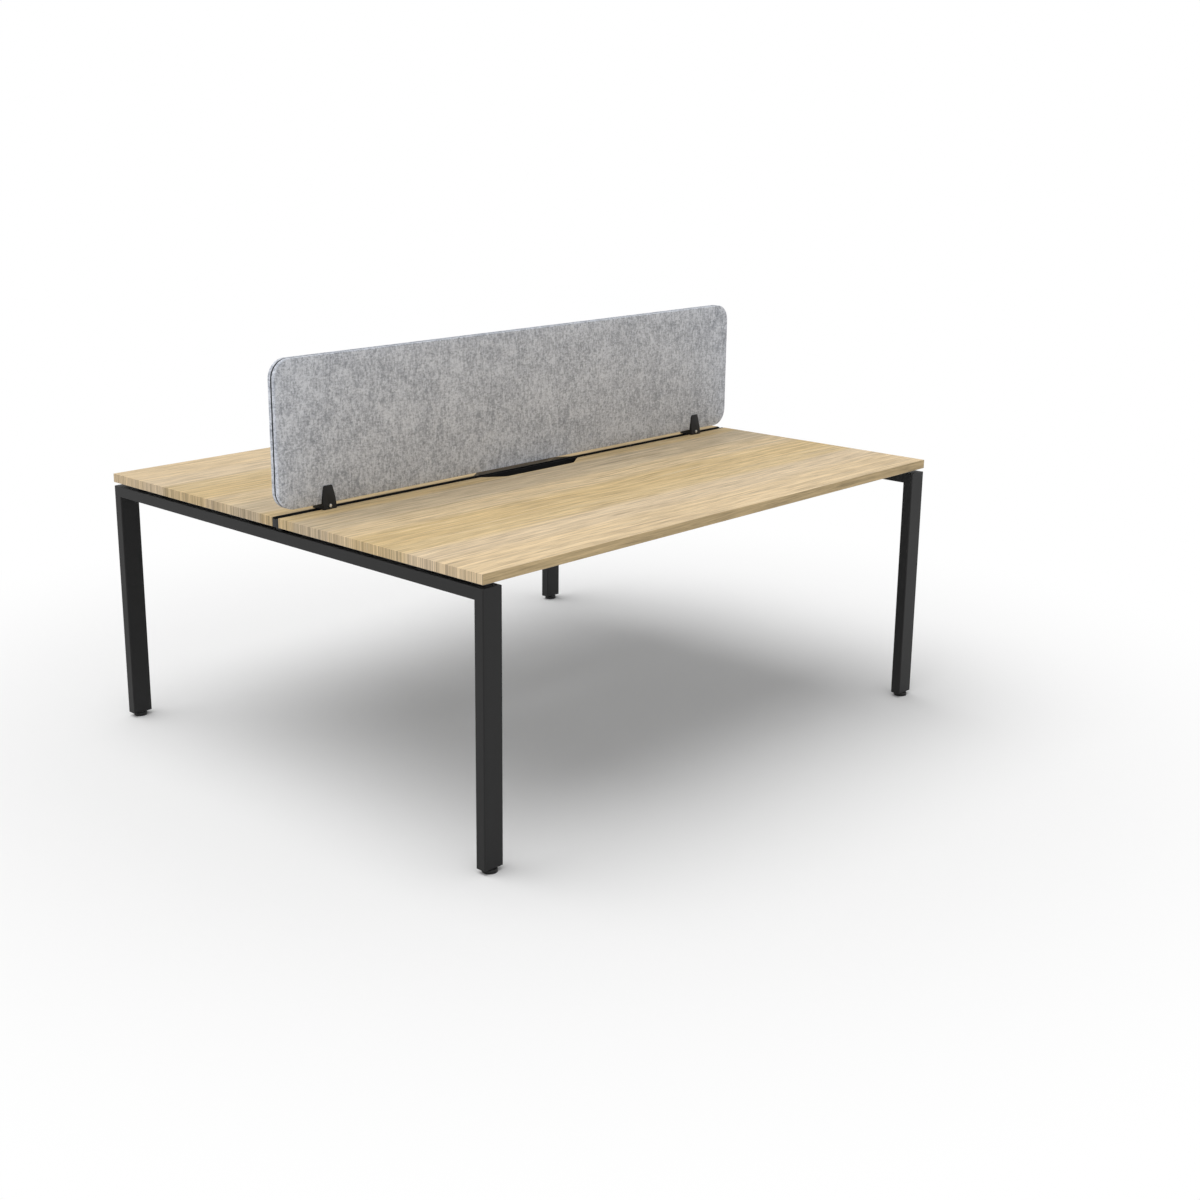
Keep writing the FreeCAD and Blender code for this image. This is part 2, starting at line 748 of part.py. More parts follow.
def make_felt_panel(name, row):
    y = signed(row, s.core_thickness / 2)
    body = new_body(name, (ZERO, y, screen_bottom), HALF_TURN if row > 0 else None)
    shape = new_sketch(body, "outline", "XZ_Plane")
    outline(shape, upright_corners(ZERO))
    blank = pad(body, shape, s.felt_thickness)
    face = min(blank.Shape.Faces, key=lambda item: item.CenterOfMass.y)
    radius = smaller(s.felt_edge_round, s.felt_thickness * ROUND_SHARE)
    round_edges(body, blank, [face.OuterWire], radius)


def make_screen_core():
    body = new_body("screen_core", (ZERO, ZERO, screen_bottom))
    shape = new_sketch(body, "outline", "XZ_Plane")
    outline(shape, upright_corners(s.core_inset))
    pad(body, shape, s.core_thickness, both_ways=True)


# Screen brackets: a base across the gap, and a wedge-shaped cheek on each face of the screen
def make_bracket_base(name, side):
    x = signed(side, bracket_x)
    plate_depth = 2 * (screen_half + s.bracket_foot_depth)
    block_height = s.screen_lift - s.base_plate_thickness
    plate = centred_box(f"{name}_plate", (x, ZERO), s.desk_height,
                        (s.bracket_width, plate_depth, s.base_plate_thickness))
    block = centred_box(f"{name}_block", (x, ZERO), cheek_bottom,
                        (s.bracket_width, 2 * screen_half, block_height))
    holes = [cylinder(f"{name}_pinch_hole", (x, -screen_half, pinch_z), pinch_bolt_hole,
                      2 * screen_half, "+Y")]
    for hand_name, hand in (("a", -1), ("b", 1)):
        screw_x = x + signed(hand, s.base_screw_spread / 2)
        holes.append(cylinder(f"{name}_screw_hole_{hand_name}", (screw_x, ZERO, s.desk_height),
                              base_screw_hole, s.base_plate_thickness))
        holes.append(cylinder(f"{name}_head_hole_{hand_name}", (screw_x, ZERO, cheek_bottom),
                              s.base_screw_head + 2 * s.head_clearance, block_height))
    node(cut(name, fuse(f"{name}_blank", [plate, block]), holes), name)


def make_cheek(name, side, row):
    at = (signed(side, bracket_x), signed(row, screen_half), cheek_bottom)
    body = new_body(name, at, HALF_TURN if row > 0 else None)
    face = new_sketch(body, "face", "XZ_Plane")
    half_foot = s.bracket_width / 2
    half_tip = s.bracket_top_width / 2
    outline(face, [
        (-half_foot, ZERO),
        (half_foot, ZERO),
        (half_foot, s.bracket_shoulder, s.bracket_shoulder_round),
        (half_tip, cheek_height, s.bracket_round),
        (-half_tip, cheek_height, s.bracket_round),
        (-half_foot, s.bracket_shoulder, s.bracket_shoulder_round),
    ])
    pad(body, face, s.bracket_foot_depth)
    slope = new_sketch(body, "slope", "YZ_Plane")
    beyond_y = -(2 * s.bracket_foot_depth)
    beyond_z = 2 * cheek_height
    outline(slope, [
        (-s.bracket_foot_depth, ZERO),
        (-s.bracket_tip_depth, cheek_height),
        (-s.bracket_tip_depth, beyond_z),
        (beyond_y, beyond_z),
        (beyond_y, ZERO),
    ])
    pocket(body, slope, both_ways=True)
    hole = new_sketch(body, "bolt_hole", "XZ_Plane")
    circle(hole, ZERO, s.pinch_bolt_rise, pinch_bolt_hole)
    pocket(body, hole, both_ways=True)
    seat = new_sketch(body, "bolt_seat", "XZ_Plane")
    seat_depth = head_seat_depth if row < 0 else nut_seat_depth
    seat.setExpression("AttachmentOffset.Base.z", seat_depth.text)
    widest = larger(s.pinch_nut_flats * 2 / math.sqrt(3), s.pinch_bolt_head)
    circle(seat, ZERO, s.pinch_bolt_rise, widest + 2 * s.head_clearance)
    pocket(body, seat, forward=True)


def make_bracket_fixings():
    bolts = []
    nuts = []
    screws = []
    sliding_nuts = []
    for side_name, side in SIDES:
        x = signed(side, bracket_x)
        at = (x, -head_seat_y, pinch_z)
        reach = head_seat_y + nut_seat_y + s.pinch_nut_height
        bolt = headed_screw(f"{side_name}_pinch_blank", at, "+Y", s.pinch_bolt_head,
                            s.pinch_bolt_head_height, s.pinch_bolt_diameter, reach)
        socket_at = (x, -(head_seat_y + s.pinch_bolt_head_height), pinch_z)
        socket = hexagon(f"{side_name}_pinch_socket", socket_at, s.pinch_socket,
                         s.pinch_socket_depth, "+Y")
        bolts.append(cut(f"{side_name}_pinch_bolt", bolt, [socket]))
        nuts.append(hex_nut(f"{side_name}_pinch_nut", (x, nut_seat_y, pinch_z), "+Y",
                            s.pinch_nut_flats, s.pinch_nut_height,
                            s.pinch_bolt_diameter + 2 * s.thread_clearance))
        size = (s.sliding_nut_length, channel_inside - 2 * s.sliding_nut_side_gap,
                s.sliding_nut_height)
        nut_bottom = channel_lip_bottom - s.sliding_nut_height
        blank = centred_box(f"{side_name}_sliding_blank", (x, ZERO), nut_bottom, size)
        bores = []
        for hand_name, hand in (("a", -1), ("b", 1)):
            screw_x = x + signed(hand, s.base_screw_spread / 2)
            bores.append(cylinder(f"{side_name}_sliding_bore_{hand_name}", (screw_x, ZERO, nut_bottom),
                                  s.base_screw_diameter + 2 * s.thread_clearance,
                                  s.sliding_nut_height))
            reach = cheek_bottom - nut_bottom
            screws.append(headed_screw(f"{side_name}_base_screw_{hand_name}",
                                       (screw_x, ZERO, cheek_bottom), "-Z", s.base_screw_head,
                                       s.base_screw_head_height, s.base_screw_diameter, reach))
        sliding_nuts.append(cut(f"{side_name}_sliding_nut", blank, bores))
    group("bracket_pinch_bolts", bolts)
    group("bracket_pinch_nuts", nuts)
    group("bracket_base_screws", screws)
    group("channel_sliding_nuts", sliding_nuts)


# Levelling feet: a plug and a nut in each leg, and a stud that turns in a round pad
def make_leg_plugs():
    plugs = []
    nuts = []
    inside_x = s.tube_width - 2 * s.tube_wall - 2 * s.plug_clearance
    inside_y = s.tube_depth - 2 * s.tube_wall - 2 * s.plug_clearance
    for side_name, side in SIDES:
        for row_name, row in ROWS:
            name = f"{side_name}_{row_name}_plug"
            middle = (signed(side, leg_x), signed(row, leg_y))
            long_bar = centred_box(f"{name}_long", middle, leg_bottom,
                                   (inside_x, inside_y - 2 * s.tube_inner_round, s.leg_plug_height))
            cross_bar = centred_box(f"{name}_cross", middle, leg_bottom,
                                    (inside_x - 2 * s.tube_inner_round, inside_y, s.leg_plug_height))
            bore = cylinder(f"{name}_bore", middle + (leg_bottom,),
                            s.stud_diameter + 2 * s.swivel_clearance, s.leg_plug_height)
            plugs.append(cut(name, fuse(f"{name}_blank", [long_bar, cross_bar]), [bore]))
            nuts.append(hex_nut(f"{side_name}_{row_name}_foot_nut", middle + (plug_top,), "+Z",
                                s.foot_nut_flats, s.foot_nut_height,
                                s.stud_diameter + 2 * s.thread_clearance))
    group("leg_end_plugs", plugs)
    group("foot_thread_nuts", nuts)


def make_foot_pad(name, side, row):
    body = new_body(name, (signed(side, leg_x), signed(row, leg_y), ZERO))
    profile = new_sketch(body, "profile", "XZ_Plane")
    outer = s.foot_pad_diameter / 2
    neck = s.stud_diameter / 2 + s.swivel_clearance
    hollow = s.swivel_disc_diameter / 2 + s.swivel_clearance
    hollow_top = s.foot_pad_floor + s.swivel_disc_height + s.swivel_clearance
    outline(profile, [
        (ZERO, ZERO),
        (outer, ZERO),
        (outer, s.foot_pad_height, s.foot_pad_round),
        (neck, s.foot_pad_height),
        (neck, hollow_top),
        (hollow, hollow_top),
        (hollow, s.foot_pad_floor),
        (ZERO, s.foot_pad_floor),
    ])
    turned = body.newObject("PartDesign::Revolution", f"{name}_turned")
    turned.Profile = profile
    turned.ReferenceAxis = (profile, ["V_Axis"])
    turned.Angle = 360
    doc.recompute()


def make_foot_stud(name, side, row):
    x, y = signed(side, leg_x), signed(row, leg_y)
    hex_bottom = s.foot_pad_height + s.swivel_clearance
    disc = cylinder(f"{name}_disc", (x, y, s.foot_pad_floor), s.swivel_disc_diameter,
                    s.swivel_disc_height)
    shank = cylinder(f"{name}_shank", (x, y, s.foot_pad_floor), s.stud_diameter,
                     leg_bottom - s.foot_pad_floor + s.stud_reach)
    flats = hexagon(f"{name}_hex", (x, y, hex_bottom), s.stud_hex_flats, s.stud_hex_height)
    node(fuse(name, [disc, shank, flats]), name)


for side_name, side in SIDES:
    for row_name, row in ROWS:
        make_leg(f"{side_name}_{row_name}_leg", side, row)
        make_foot_pad(f"{side_name}_{row_name}_foot_pad", side, row)
        make_foot_stud(f"{side_name}_{row_name}_foot_stud", side, row)
        make_cheek(f"{side_name}_{row_name}_bracket_cheek", side, row)
    make_cross_rail(f"{side_name}_cross_rail", side)
    make_channel_cap(f"{side_name}_channel_cap", side)
    make_bracket_base(f"{side_name}_bracket_base", side)
for row_name, row in ROWS:
    for line_name, line in beam_lines.items():
        make_beam(f"{row_name}_{line_name}_beam", signed(row, line))
    make_board(f"{row_name}_desktop_board", row)
    make_edging(f"{row_name}_desktop_edging", row)
    make_felt_panel(f"{row_name}_screen_panel", row)
make_leg_plugs()
make_beam_joints()
make_top_fixings()
make_joining_plates()
make_channel()
make_support_blocks()
make_screen_core()
make_bracket_fixings()
doc.recompute()

for item in doc.Objects:
    if "Invalid" in item.State or "Error" in item.State:
        raise RuntimeError(f"{item.Name} failed: {item.State}")
for item in nodes:
    if item.Shape.isNull() or not item.Shape.isValid():
        raise RuntimeError(f"{item.Label} has no valid shape")

os.makedirs("parts", exist_ok=True)
for item in nodes:
    item.Shape.exportStep(f"parts/{item.Label}.step")
    print(item.Label, len(item.Shape.Solids), "solids", round(item.Shape.Volume), "mm3")
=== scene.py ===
import json
import math
from collections import namedtuple

import bmesh
import bpy
from mathutils import Matrix, Vector, noise


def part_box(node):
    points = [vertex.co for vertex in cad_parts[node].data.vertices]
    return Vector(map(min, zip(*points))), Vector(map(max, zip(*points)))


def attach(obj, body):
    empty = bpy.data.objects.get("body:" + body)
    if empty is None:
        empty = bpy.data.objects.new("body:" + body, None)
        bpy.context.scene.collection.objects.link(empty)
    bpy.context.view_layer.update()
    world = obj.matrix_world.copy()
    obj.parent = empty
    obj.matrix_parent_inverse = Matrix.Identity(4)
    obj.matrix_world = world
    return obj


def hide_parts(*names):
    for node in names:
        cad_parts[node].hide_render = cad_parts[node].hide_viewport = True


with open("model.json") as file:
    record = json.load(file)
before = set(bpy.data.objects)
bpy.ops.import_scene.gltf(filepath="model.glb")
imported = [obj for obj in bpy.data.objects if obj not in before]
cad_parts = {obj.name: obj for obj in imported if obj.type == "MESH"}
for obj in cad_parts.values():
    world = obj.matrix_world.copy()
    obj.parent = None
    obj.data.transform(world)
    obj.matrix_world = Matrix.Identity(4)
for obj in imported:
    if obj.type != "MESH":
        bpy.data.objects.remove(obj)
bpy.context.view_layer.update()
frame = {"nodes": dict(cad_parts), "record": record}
nodes = frame["nodes"]
MM = 0.001

# Heights and faces of the desk, read from the frame
TOP_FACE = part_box("front_desktop_board")[1].z
INNER_EDGE = -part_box("front_desktop_edging")[1].y
OUTER_EDGE = -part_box("front_desktop_edging")[0].y

# Noise runs from 0 to 1, and this is its middle
NOISE_MIDDLE = 0.5
# A Mix node's sockets for colours share their names with others, so they go by number
MIX_SHARE = 0
MIX_ONE = 6
MIX_OTHER = 7
MIX_RESULT = 2


class Value:
    """What a node gives; sums written with it become Math nodes."""

    def __init__(self, finish, socket):
        self.finish = finish
        self.socket = socket

    def sum(self, operation, *terms):
        return self.finish.node("ShaderNodeMath", {"operation": operation}, dict(enumerate(terms)))

    def __add__(self, other):
        return self.sum("ADD", self, other)

    def __sub__(self, other):
        return self.sum("SUBTRACT", self, other)

    def __rsub__(self, other):
        return self.sum("SUBTRACT", other, self)

    def __mul__(self, other):
        return self.sum("MULTIPLY", self, other)

    def __truediv__(self, other):
        return self.sum("DIVIDE", self, other)

    def __rtruediv__(self, other):
        return self.sum("DIVIDE", other, self)

    def __abs__(self):
        return self.sum("ABSOLUTE", self)

    __radd__ = __add__
    __rmul__ = __mul__


class Finish:
    """The nodes of a material, or of the world."""

    def __init__(self, owner):
        owner.use_nodes = True
        self.owner = owner
        self.tree = owner.node_tree
        self.tree.nodes.clear()

    def node(self, kind, settings=None, inputs=None, output=0):
        made = self.tree.nodes.new(kind)
        for name, setting in (settings or {}).items():
            if name == "stops":
                self.set_stops(made.color_ramp, setting)
            else:
                setattr(made, name, setting)
        for name, given in (inputs or {}).items():
            if isinstance(given, Value):
                self.tree.links.new(given.socket, made.inputs[name])
            else:
                made.inputs[name].default_value = given
        return Value(self, made.outputs[output]) if made.outputs else None

    def set_stops(self, ramp, stops):
        while len(ramp.elements) > 1:
            ramp.elements.remove(ramp.elements[-1])
        for index, (position, colour) in enumerate(stops):
            stop = ramp.elements[0] if index == 0 else ramp.elements.new(position)
            stop.position = position
            stop.color = colour

    def place(self):
        """The point's own x, y and z on the piece, in metres."""
        at = self.node("ShaderNodeTexCoord", output="Object")
        return self.parts(at)

    def facing(self):
        """The x, y and z of the direction that the surface faces."""
        normal = self.node("ShaderNodeTexCoord", output="Normal")
        return self.parts(normal)

    def parts(self, vector):
        return [self.node("ShaderNodeSeparateXYZ", None, {"Vector": vector}, letter) for letter in "XYZ"]

    def cloud(self, x, y, z, detail=2.0, rough=0.5):
        """Noise from 0 to 1 at a point whose x, y and z are already scaled."""
        at = self.node("ShaderNodeCombineXYZ", None, {"X": x, "Y": y, "Z": z})
        return self.node("ShaderNodeTexNoise", None,
                         {"Vector": at, "Scale": 1.0, "Detail": detail, "Roughness": rough})

    def even_cloud(self, cells, detail=2.0, rough=0.5):
        """Noise with the same number of cells in a metre all ways."""
        x, y, z = self.place()
        return self.cloud(x * cells, y * cells, z * cells, detail, rough)

    def layer(self, along, across, grain):
        """One layer of the oak's grain."""
        return self.cloud(along * grain.along, across * grain.across, grain.start, grain.detail, grain.rough)

    def mask(self, amount, low, high):
        """0 below low, 1 above high, and a smooth step between."""
        return self.node("ShaderNodeMapRange", {"interpolation_type": "SMOOTHSTEP"},
                         {"Value": amount, "From Min": low, "From Max": high})

    def mix(self, share, one, other):
        return self.node("ShaderNodeMix", {"data_type": "RGBA"},
                         {MIX_SHARE: share, MIX_ONE: one, MIX_OTHER: other}, MIX_RESULT)

    def brighten(self, colour, amount):
        return self.node("ShaderNodeVectorMath", {"operation": "SCALE"}, {0: colour, "Scale": amount})

    def ramp(self, amount, stops):
        return self.node("ShaderNodeValToRGB", {"stops": stops}, {"Fac": amount})

    def bump(self, height, depth, strength):
        return self.node("ShaderNodeBump", None,
                         {"Height": height, "Distance": depth, "Strength": strength})

    def surface(self, inputs):
        shader = self.node("ShaderNodeBsdfPrincipled", None, inputs)
        self.node("ShaderNodeOutputMaterial", None, {"Surface": shader})
        return self.owner


def new_finish(name):
    return Finish(bpy.data.materials.new(name))


def tint(red, green, blue):
    return (red, green, blue, 1.0)


def shaded(shade, parts):
    """A grey whose red, green and blue are a little apart."""
    return tint(*(shade * part for part in parts))


def swing(amount, reach):
    """Noise as a change to both sides of nought."""
    return (amount - NOISE_MIDDLE) * reach


# Tints of the oak decor, its edge band, its painted shade and its backing sheet
HONEY = tint(0.640, 0.478, 0.250)
WARM = tint(0.670, 0.512, 0.285)
GREY_BEIGE = tint(0.570, 0.460, 0.308)
ROSE_BEIGE = tint(0.670, 0.520, 0.318)
PALE = tint(0.712, 0.565, 0.378)
LIGHT_BEIGE = tint(0.742, 0.576, 0.360)
CREAM = tint(0.810, 0.690, 0.490)
STREAK_GREY = tint(0.435, 0.348, 0.262)
STREAK_BROWN = tint(0.370, 0.255, 0.125)
# The long edges' tint is partly the band's own brown and partly painted shade; the inner one is painted
# shade
EDGE_BROWN_SHADE = tint(0.512, 0.384, 0.206)
INNER_SHADE_TINT = tint(0.205, 0.175, 0.135)
BACKING_LIGHT = tint(0.600, 0.600, 0.590)
BACKING_DARK = tint(0.500, 0.500, 0.492)

# Zones of the decor, as shares of the way from the gap between the tops to the long edge
OAK_ZONES = [
    (0.00, HONEY),
    (0.06, HONEY),
    (0.09, GREY_BEIGE),
    (0.22, GREY_BEIGE),
    (0.28, ROSE_BEIGE),
    (0.36, ROSE_BEIGE),
    (0.41, HONEY),
    (0.52, HONEY),
    (0.60, WARM),
    (0.64, WARM),
    (0.68, PALE),
    (0.78, PALE),
    (0.83, LIGHT_BEIGE),
    (1.00, LIGHT_BEIGE),
]

# Layers of the grain: cells in a metre along and across the board, where the noise starts, and its detail
Layer = namedtuple("Layer", "along across start detail rough", defaults=(2.0, 0.5))
WANDER = Layer(1.1, 4.0, 0.0)
QUIVER = Layer(6.0, 22.0, 3.0)
BAND = Layer(0.7, 26.0, 7.0, 3.0, 0.6)
STREAK = Layer(2.2, 85.0, 11.0, 3.0, 0.65)
STRIPE = Layer(2.6, 70.0, 13.0, 3.0, 0.6)
VEIN = Layer(1.8, 85.0, 17.0, 3.0, 0.6)
DASH = Layer(7.0, 130.0, 19.0, 3.0, 0.7)
LINE = Layer(11.0, 480.0, 23.0, 3.0, 0.6)
PORE = Layer(34.0, 1500.0, 29.0, detail=1.0)
RIBS = Layer(0.0, 300.0, 31.0, 3.0, 0.6)

# How far the grain strays sideways, in metres
WANDER_REACH = 0.040
QUIVER_REACH = 0.004
# A swell of the grain halfway along each top: its place, its reach along and across, and its bend
SWELL_DEPTH = 0.345
SWELL_REACH = 0.21
SWELL_SPREAD = 0.075
SWELL_RISE = 0.030

# Streaks of another tint: the noise at which they start and are full, and the share that they cover
Streaks = namedtuple("Streaks", "start full share colour")
GREY_VEINS = Streaks(0.56, 0.68, 0.40, STREAK_GREY)
CREAM_STREAKS = Streaks(0.54, 0.74, 0.46, CREAM)
BROWN_STREAKS = Streaks(0.56, 0.70, 0.42, STREAK_BROWN)
# Noise at which short dark flecks and pores start and are full
FLECK_LEVELS = (0.54, 0.68)
PORE_LEVELS = (0.62, 0.74)

# Brightness of the decor, and how far each layer changes it
DECOR_TONE = 0.985
BAND_TONE = 0.12
STRIPE_TONE = 0.80
DASH_TONE = 1.05
LINE_TONE = 0.75
FLECK_SHADE = 0.08
PORE_SHADE = 0.12
# The rear board is a shade darker than the front one, and both darken with each metre along the desk as a
# painted light falloff
REAR_SHADE = 0.08
PAINTED_FALLOFF = 0.05

# On the ends of the boards the edge band is greyer, with upright ribs; along them it is browner and darker,
# partly painted shade
RIBS_MIDDLE = 0.52
RIBS_TONE = 2.2
END_GREY = 0.22
LONG_EDGE_SHADE = 0.80
# Painted shade darkens it along the gap and in the cable notches, up to here from the desk's middle
INNER_SHADE_SHARE = 0.95
INNER_REACH = 60 * MM
INNER_FADE = 2 * MM

# Faces that look down by more than the first have the backing sheet, and by less than the second the decor
BACKING_FACING = (-0.6, -0.4)
BACKING_CELLS = 260.0
OAK_ROUGHNESS = 0.58
OAK_ROUGH_SWING = 0.12
OAK_GLOSS = 0.12
LINE_HEIGHT = 0.5
# Depth and strength of the relief, as for the other finishes below
OAK_BUMP = (0.15 * MM, 0.35)


def oak(name, edge_band=False):
    """Pale oak decor with streaks, lines and pores along it, and a plain backing sheet underneath."""
    finish = new_finish(name)
    x, y, z = finish.place()
    facing_x, facing_y, facing_z = finish.facing()
    across = y
    if edge_band:
        # The decor folds down over the long edges
        across = y + facing_y * (TOP_FACE - z)
    wander = finish.layer(x, across, WANDER)
    quiver = finish.layer(x, across, QUIVER)
    shift = swing(wander, WANDER_REACH) + swing(quiver, QUIVER_REACH)
    depth = abs(across)
    along_swell = x / SWELL_REACH
    across_swell = (depth - SWELL_DEPTH) / SWELL_SPREAD
    swell = SWELL_RISE / (1.0 + along_swell * along_swell) / (1.0 + across_swell * across_swell)
    zone = (depth + shift - INNER_EDGE) / (OUTER_EDGE - INNER_EDGE)
    grain = across + shift + swell
    # Each layer is long along the board and narrow across it
    band = finish.layer(x, grain, BAND)
    stripe = finish.layer(x, grain, STRIPE)
    dash = finish.layer(x, grain, DASH)
    streak = finish.layer(x, grain, STREAK)
    vein = finish.layer(x, grain, VEIN)
    line = finish.layer(x, grain, LINE)
    fleck = finish.mask(1.0 - dash, *FLECK_LEVELS)
    pore = finish.mask(finish.layer(x, grain, PORE), *PORE_LEVELS)
    colour = finish.ramp(zone, OAK_ZONES)
    for amount, kind in ((vein, GREY_VEINS), (streak, CREAM_STREAKS), (1.0 - streak, BROWN_STREAKS)):
        share = finish.mask(amount, kind.start, kind.full) * kind.share
        colour = finish.mix(share, colour, kind.colour)
    # Painted shade: the tone falls along x, standing in for light that falls off along the desk
    tone = DECOR_TONE - finish.mask(y, 0.0, INNER_EDGE) * REAR_SHADE - x * PAINTED_FALLOFF
    tone = tone + swing(band, BAND_TONE) + swing(stripe, STRIPE_TONE)
    tone = tone + swing(dash, DASH_TONE) + swing(line, LINE_TONE)
    tone = tone - fleck * FLECK_SHADE - pore * PORE_SHADE
    if edge_band:
        ribs = finish.layer(x, across, RIBS) - RIBS_MIDDLE
        tone = tone + ribs * abs(facing_x) * RIBS_TONE
        # Painted shade: faces along the gap and in the cable notches are mixed toward a near-black brown
        inner = 1.0 - finish.mask(abs(y), INNER_REACH - INNER_FADE, INNER_REACH)
        colour = finish.mix(abs(facing_x) * END_GREY, colour, STREAK_GREY)
        # Partly painted shade: the long edges are mixed toward a darker brown
        colour = finish.mix(abs(facing_y) * LONG_EDGE_SHADE, colour, EDGE_BROWN_SHADE)
        colour = finish.mix(abs(facing_y) * inner * INNER_SHADE_SHARE, colour, INNER_SHADE_TINT)
    decor = finish.brighten(colour, tone)
    speckle = finish.even_cloud(BACKING_CELLS, rough=0.6)
    backing = finish.mix(speckle, BACKING_DARK, BACKING_LIGHT)
    return finish.surface({
        "Base Color": finish.mix(finish.mask(facing_z, *BACKING_FACING), backing, decor),
        "Roughness": OAK_ROUGHNESS + swing(line, OAK_ROUGH_SWING) + pore * OAK_ROUGH_SWING,
        "Normal": finish.bump(line * LINE_HEIGHT - pore, *OAK_BUMP),
        "Specular IOR Level": OAK_GLOSS,
    })


# Tints of the felt, from its darker patches to its lighter ones
FELT_DARK = tint(0.346, 0.371, 0.424)
FELT_LIGHT = tint(0.842, 0.875, 0.942)

# Layers of the felt: cells in a metre sideways and upwards, detail, and how far each changes the tint
FeltLayer = namedtuple("FeltLayer", "sideways upwards detail rough tone")
FELT_LAYERS = {
    "clouds": FeltLayer(8.0, 9.0, 3.0, 0.6, 0.6),
    "patches": FeltLayer(34.0, 26.0, 3.0, 0.65, 1.1),
    "marl": FeltLayer(330.0, 260.0, 3.0, 0.7, 1.5),
    "upright flecks": FeltLayer(180.0, 75.0, 4.0, 0.7, 2.6),
    "level flecks": FeltLayer(80.0, 190.0, 4.0, 0.7, 2.1),
}
# The felt's middle tone, and the tones at which it is darkest and lightest
FELT_MIDDLE = 0.57
FELT_RANGE = (-0.2, 1.2)

# Fibres cross at these angles in degrees, with few cells in a metre along them and many across
FIBRE_ANGLES = (12, 63, 104, 151)
FIBRE_ALONG = 110.0
FIBRE_ACROSS = 1100.0
FIBRE_START = 5.0
FIBRE_LEVELS = (0.52, 0.70)
# How far the fibres' pattern moves along and across them for each metre into the panel
FIBRE_LEAN = (0.7, 0.6)
FELT_TONE = 0.90
FIBRE_TONE = 0.30
MARL_HEIGHT = 0.8
FELT_BUMP = (0.6 * MM, 0.5)
FELT_ROUGHNESS = 0.93
FELT_GLOSS = 0.10
FELT_SHEEN = 0.10
FELT_SHEEN_ROUGHNESS = 0.5


def felt(name):
    """Grey pressed felt: short dark and light flecks, crossing fibres, soft clouds and a little sheen."""
    finish = new_finish(name)
    x, y, z = finish.place()
    noises = {}
    pale = FELT_MIDDLE
    for kind, layer in FELT_LAYERS.items():
        noises[kind] = finish.cloud(x * layer.sideways, y * layer.sideways, z * layer.upwards,
                                    layer.detail, layer.rough)
        pale = pale + swing(noises[kind], layer.tone)
    fibres = 0.0
    for index, degrees in enumerate(FIBRE_ANGLES):
        turn = math.radians(degrees)
        along = x * math.cos(turn) + z * math.sin(turn) + y * FIBRE_LEAN[0]
        athwart = z * math.cos(turn) - x * math.sin(turn) + y * FIBRE_LEAN[1]
        fibre = finish.cloud(along * FIBRE_ALONG, athwart * FIBRE_ACROSS, FIBRE_START * index, detail=1.0)
        fibres = fibres + finish.mask(fibre, *FIBRE_LEVELS) / len(FIBRE_ANGLES)
    colour = finish.mix(finish.mask(pale, *FELT_RANGE), FELT_DARK, FELT_LIGHT)
    return finish.surface({
        "Base Color": finish.brighten(colour, FELT_TONE + fibres * FIBRE_TONE),
        "Roughness": FELT_ROUGHNESS,
        "Normal": finish.bump(fibres + noises["marl"] * MARL_HEIGHT, *FELT_BUMP),
        "Specular IOR Level": FELT_GLOSS,
        "Sheen Weight": FELT_SHEEN,
        "Sheen Roughness": FELT_SHEEN_ROUGHNESS,
    })


# Powder coat and moulded plastic
DIMPLE_CELLS = 520.0
DRIFT_CELLS = 7.0
COAT_COOL = (0.82, 0.83, 0.87)
COAT_WARM = (1.18, 1.16, 1.14)
DIMPLE_TONE = 0.36
DIMPLE_ROUGH_SWING = 0.12
DRIFT_ROUGH_SWING = 0.10
COAT_BUMP = (0.12 * MM, 0.45)


def powder_coat(name, shade, gloss=0.30, roughness=0.52, upright=1.0):
    """Dark coat with fine dimples; upright is how much paler upright faces are painted than level ones, as
    painted light and shade.
    """
    finish = new_finish(name)
    dimples = finish.even_cloud(DIMPLE_CELLS)
    drift = finish.even_cloud(DRIFT_CELLS)
    tone = 1.0 + swing(dimples, DIMPLE_TONE)
    # Painted light and shade: upright faces are paler and level faces darker
    if upright != 1.0:
        facing_z = finish.facing()[2]
        tone = tone * (upright + (1.0 - upright) * abs(facing_z))
    colour = finish.mix(drift, shaded(shade, COAT_COOL), shaded(shade, COAT_WARM))
    return finish.surface({
        "Base Color": finish.brighten(colour, tone),
        "Roughness": roughness + swing(drift, DRIFT_ROUGH_SWING) + swing(dimples, DIMPLE_ROUGH_SWING),
        "Normal": finish.bump(dimples, *COAT_BUMP),
        "Specular IOR Level": gloss,
    })


# Plated steel
HAZE_CELLS = 90.0
TURNING_CELLS = 200.0
TURNING_CELLS_UPWARDS = 2600.0
PLATE_DULL = (0.88, 0.89, 0.89)
PLATE_CLEAN = (1.12, 1.11, 1.07)
HAZE_ROUGH_SWING = 0.16
TURNING_ROUGH_SWING = 0.08
PLATE_BUMP = (0.03 * MM, 0.3)


def plated(name, shade, roughness):
    """Plated steel with fine turning lines and a slight cloudiness."""
    finish = new_finish(name)
    x, y, z = finish.place()
    haze = finish.even_cloud(HAZE_CELLS, detail=3.0, rough=0.6)
    lines = finish.cloud(x * TURNING_CELLS, y * TURNING_CELLS, z * TURNING_CELLS_UPWARDS, detail=1.0)
    return finish.surface({
        "Base Color": finish.mix(haze, shaded(shade, PLATE_DULL), shaded(shade, PLATE_CLEAN)),
        "Metallic": 1.0,
        "Roughness": roughness + swing(haze, HAZE_ROUGH_SWING) + swing(lines, TURNING_ROUGH_SWING),
        "Normal": finish.bump(lines, *PLATE_BUMP),
    })


